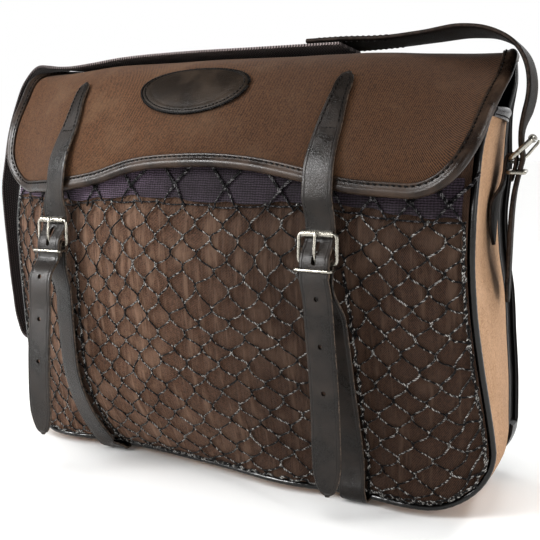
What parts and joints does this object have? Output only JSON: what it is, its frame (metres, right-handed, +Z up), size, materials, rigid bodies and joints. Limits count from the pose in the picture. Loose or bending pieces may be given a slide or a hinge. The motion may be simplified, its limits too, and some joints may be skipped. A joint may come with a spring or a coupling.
{
  "type": "hunting game bag",
  "caption": "Upright canvas shooting bag with a leather-bound flap, a knotted net pocket, buckled front straps and a webbing sling with leather ends.",
  "frame": {"origin": "on the flat bottom of the bag, in the middle of its width, at the plane that the bag stands on", "axes": "+X to the bag's right as seen from the front, -Y out of the front panel, +Z up"},
  "size_m": [0.4458, 0.1811, 0.3111],
  "materials": {
    "canvas_brown": "heavy brown twill canvas, matt, lighter where it is brushed by wear",
    "canvas_tan": "tan brushed canvas, matt",
    "leather": "dark brown bridle leather, waxed, with burnished edges and stitching",
    "leathercloth": "near-black coated cloth with a fine grain and a soft shine",
    "piping": "glossy black covered piping cord",
    "elastic": "purple-brown knitted elastic, fine rows",
    "webbing": "dark woven webbing with lighter flecks of weave",
    "cord": "twisted black and grey net cord",
    "nickel": "polished nickel wire, slightly warm and worn"
  },
  "bodies": {
    "root": {"front_panel": "canvas_brown", "gusset_panel": "canvas_tan", "back_panel": "leathercloth", "front_piping": "piping", "back_piping": "piping", "gusset_trim_left": "leather", "gusset_trim_right": "leather", "flap": "canvas_brown", "flap_binding": "leather", "name_patch": "leather", "net_band": "elastic", "net": "cord", "sling_webbing": "webbing", "sling_end_left": "leather", "sling_end_right": "leather", "side_chape_left": "leather", "side_chape_right": "leather", "flap_strap_left": "leather", "flap_strap_right": "leather", "lower_strap_left": "leather", "lower_strap_right": "leather", "buckle_front_left": "nickel", "buckle_front_right": "nickel", "buckle_side_left": "nickel", "buckle_side_right": "nickel", "roller_front_left": "nickel", "roller_front_right": "nickel", "roller_side_left": "nickel", "roller_side_right": "nickel", "prong_front_left": "nickel", "prong_front_right": "nickel", "prong_side_left": "nickel", "prong_side_right": "nickel", "keeper_front_left": "nickel", "keeper_front_right": "nickel", "keeper_side_left": "nickel", "keeper_side_right": "nickel"}
  },
  "joints": []
}
